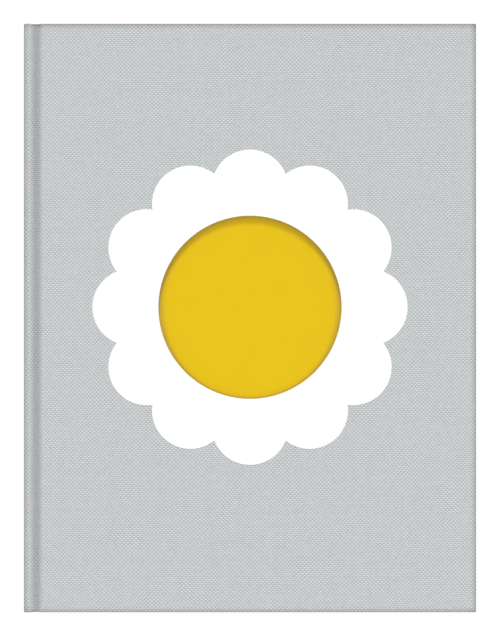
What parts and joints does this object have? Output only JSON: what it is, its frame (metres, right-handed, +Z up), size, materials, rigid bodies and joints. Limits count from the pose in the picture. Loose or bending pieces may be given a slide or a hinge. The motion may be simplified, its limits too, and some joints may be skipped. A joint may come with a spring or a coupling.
{
  "type": "cloth-bound hardcover book",
  "caption": "Hardcover book in grey woven cloth, lying shut, with a flat spine, grooved joints and a white petal print round a sunken yellow disc on the front cover.",
  "frame": {"origin": "on the surface that the book lies on, under the middle of its cover", "axes": "+X from the spine to the fore-edge, +Y from the foot to the head, +Z up through the front cover"},
  "size_m": [0.2126, 0.2764, 0.0306],
  "materials": {
    "cloth": "matt grey plain-weave book cloth",
    "endpaper": "matt uncoated paper",
    "page_paper": "matt paper, cut edges",
    "white_print": "smooth satin white",
    "yellow_paper": "smooth satin yellow",
    "band_thread": "matt wound thread"
  },
  "bodies": {
    "block": {"text_block": "page_paper", "front_flyleaf": "endpaper", "back_flyleaf": "endpaper", "head_band": "band_thread", "tail_band": "band_thread", "spine_board": "cloth", "front_joint_cloth": "cloth", "back_joint_cloth": "cloth"},
    "front_cover": {"front_board": "cloth", "front_pastedown": "endpaper", "yellow_inlay": "yellow_paper", "petal_print": "white_print"},
    "back_cover": {"back_board": "cloth", "back_pastedown": "endpaper"}
  },
  "joints": [
    {"name": "front_cover_hinge", "type": "hinge", "parent": "block", "child": "front_cover", "pos_m": [-0.10035, 0, 0.03065], "axis": [0, -1, 0], "range_deg": [0, 179.9]},
    {"name": "back_cover_hinge", "type": "hinge", "parent": "block", "child": "back_cover", "pos_m": [-0.1022, 0, 0.0016], "axis": [0, 1, 0], "range_deg": [0, 179.9]}
  ]
}
